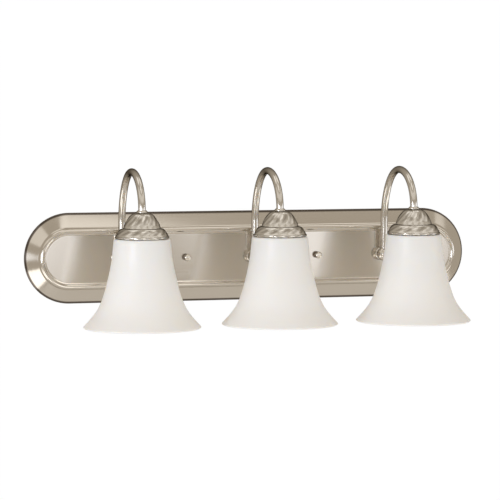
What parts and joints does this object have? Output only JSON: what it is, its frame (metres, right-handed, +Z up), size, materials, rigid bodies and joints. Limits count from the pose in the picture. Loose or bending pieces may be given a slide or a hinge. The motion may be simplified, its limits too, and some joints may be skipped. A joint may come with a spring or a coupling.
{
  "type": "vanity light bar",
  "caption": "Wall light bar: a racetrack backplate with gooseneck arms that carry bell-shaped opal glass shades over screw lamp sockets, mouth down.",
  "frame": {"origin": "middle of the bar on the wall plane, on the back face of the mounting strap", "axes": "+X along the bar to the right seen from the front, +Y into the wall (the front faces -Y), +Z up"},
  "size_m": [0.61, 0.2312, 0.2007],
  "materials": {
    "brushed_nickel": "brushed nickel plate over pressed steel, satin, fine grain",
    "nut_nickel": "nickel plate, knurled side and polished end",
    "ring_nickel": "nickel plate, turned",
    "zinc_plate": "bright zinc plate",
    "brass": "rolled brass, dull",
    "porcelain": "white glaze",
    "opal_glass": "cased opal glass, satin etched outside",
    "black_sleeve": "black wire sleeve",
    "white_sleeve": "white wire sleeve",
    "bare_copper": "bare copper wire",
    "green_screw": "green lacquer",
    "orange_cap": "moulded",
    "yellow_cap": "moulded"
  },
  "bodies": {
    "fixture": {"backplate_pan": "brushed_nickel", "mounting_crossbar": "zinc_plate", "ground_screw": "green_screw", "ground_lead": "bare_copper", "black_connector": "orange_cap", "white_connector": "yellow_cap", "box_screw_left": "zinc_plate", "mounting_stud_left": "zinc_plate", "stud_nut_left": "zinc_plate", "box_screw_right": "zinc_plate", "mounting_stud_right": "zinc_plate", "stud_nut_right": "zinc_plate", "arm_flange_left": "brushed_nickel", "arm_elbow_left": "brushed_nickel", "arm_washer_left": "zinc_plate", "arm_nut_left": "zinc_plate", "arm_tube_left": "brushed_nickel", "tube_collar_left": "brushed_nickel", "fitter_cup_left": "brushed_nickel", "fitter_nut_left": "zinc_plate", "socket_body_left": "porcelain", "screw_shell_left": "brass", "centre_contact_left": "brass", "black_lead_left": "black_sleeve", "white_lead_left": "white_sleeve", "arm_flange_middle": "brushed_nickel", "arm_elbow_middle": "brushed_nickel", "arm_washer_middle": "zinc_plate", "arm_nut_middle": "zinc_plate", "arm_tube_middle": "brushed_nickel", "tube_collar_middle": "brushed_nickel", "fitter_cup_middle": "brushed_nickel", "fitter_nut_middle": "zinc_plate", "socket_body_middle": "porcelain", "screw_shell_middle": "brass", "centre_contact_middle": "brass", "black_lead_middle": "black_sleeve", "white_lead_middle": "white_sleeve", "arm_flange_right": "brushed_nickel", "arm_elbow_right": "brushed_nickel", "arm_washer_right": "zinc_plate", "arm_nut_right": "zinc_plate", "arm_tube_right": "brushed_nickel", "tube_collar_right": "brushed_nickel", "fitter_cup_right": "brushed_nickel", "fitter_nut_right": "zinc_plate", "socket_body_right": "porcelain", "screw_shell_right": "brass", "centre_contact_right": "brass", "black_lead_right": "black_sleeve", "white_lead_right": "white_sleeve"},
    "shade_left": {"glass_shade_left": "opal_glass"},
    "ring_left": {"shade_ring_left": "ring_nickel"},
    "shade_middle": {"glass_shade_middle": "opal_glass"},
    "ring_middle": {"shade_ring_middle": "ring_nickel"},
    "shade_right": {"glass_shade_right": "opal_glass"},
    "ring_right": {"shade_ring_right": "ring_nickel"},
    "nut_left": {"cap_nut_left": "nut_nickel"},
    "nut_right": {"cap_nut_right": "nut_nickel"}
  },
  "joints": [
    {"name": "shade_drop_left", "type": "slide", "parent": "fixture", "child": "shade_left", "axis": [0, 0, -1], "range_m": [0, 0.06]},
    {"name": "ring_turn_left", "type": "hinge", "parent": "shade_left", "child": "ring_left", "pos_m": [-0.181, -0.156, 0.0264], "axis": [0, 0, -1], "range_deg": [0, 1260]},
    {"name": "shade_drop_middle", "type": "slide", "parent": "fixture", "child": "shade_middle", "axis": [0, 0, -1], "range_m": [0, 0.06]},
    {"name": "ring_turn_middle", "type": "hinge", "parent": "shade_middle", "child": "ring_middle", "pos_m": [0, -0.156, 0.0264], "axis": [0, 0, -1], "range_deg": [0, 1260]},
    {"name": "shade_drop_right", "type": "slide", "parent": "fixture", "child": "shade_right", "axis": [0, 0, -1], "range_m": [0, 0.06]},
    {"name": "ring_turn_right", "type": "hinge", "parent": "shade_right", "child": "ring_right", "pos_m": [0.181, -0.156, 0.0264], "axis": [0, 0, -1], "range_deg": [0, 1260]},
    {"name": "cap_nut_turn_left", "type": "hinge", "parent": "fixture", "child": "nut_left", "pos_m": [-0.0906, -0.0265, 0], "axis": [0, -1, 0], "range_deg": [0, 2160]},
    {"name": "cap_nut_turn_right", "type": "hinge", "parent": "fixture", "child": "nut_right", "pos_m": [0.0906, -0.0265, 0], "axis": [0, -1, 0], "range_deg": [0, 2160]}
  ]
}
